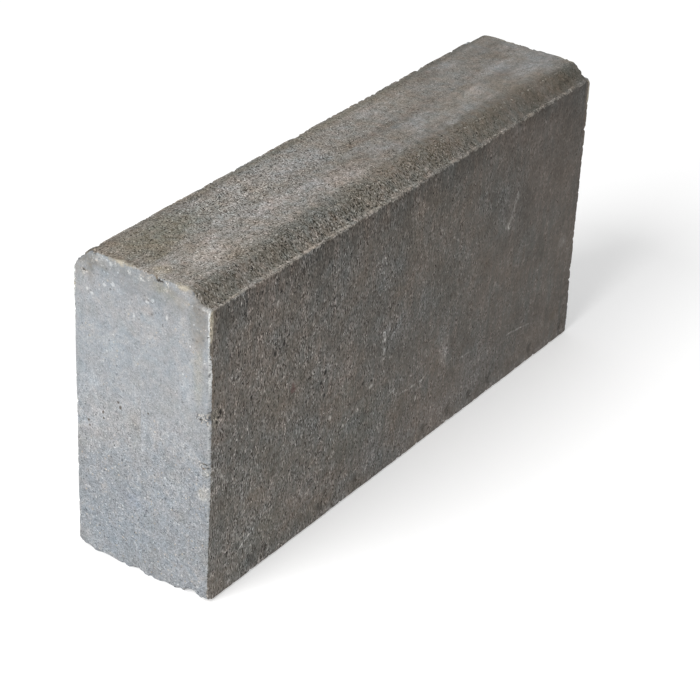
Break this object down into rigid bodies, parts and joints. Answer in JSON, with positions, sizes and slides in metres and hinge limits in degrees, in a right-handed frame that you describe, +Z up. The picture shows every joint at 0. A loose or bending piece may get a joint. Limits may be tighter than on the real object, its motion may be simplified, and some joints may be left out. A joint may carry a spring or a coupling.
{
  "type": "concrete kerb stone",
  "caption": "Straight pressed concrete kerb stone; both top edges have a rounded chamfer that stops on a narrow ledge above the upright side.",
  "frame": {"origin": "middle of the underside", "axes": "+X along the kerb, +Y towards its back, -Y towards the road, +Z up"},
  "size_m": [0.5, 0.12, 0.25],
  "materials": {
    "concrete": "dry pressed grey concrete with open pores, sand flecks and pale worn edges"
  },
  "bodies": {
    "root": {"kerb_stone": "concrete"}
  },
  "joints": []
}
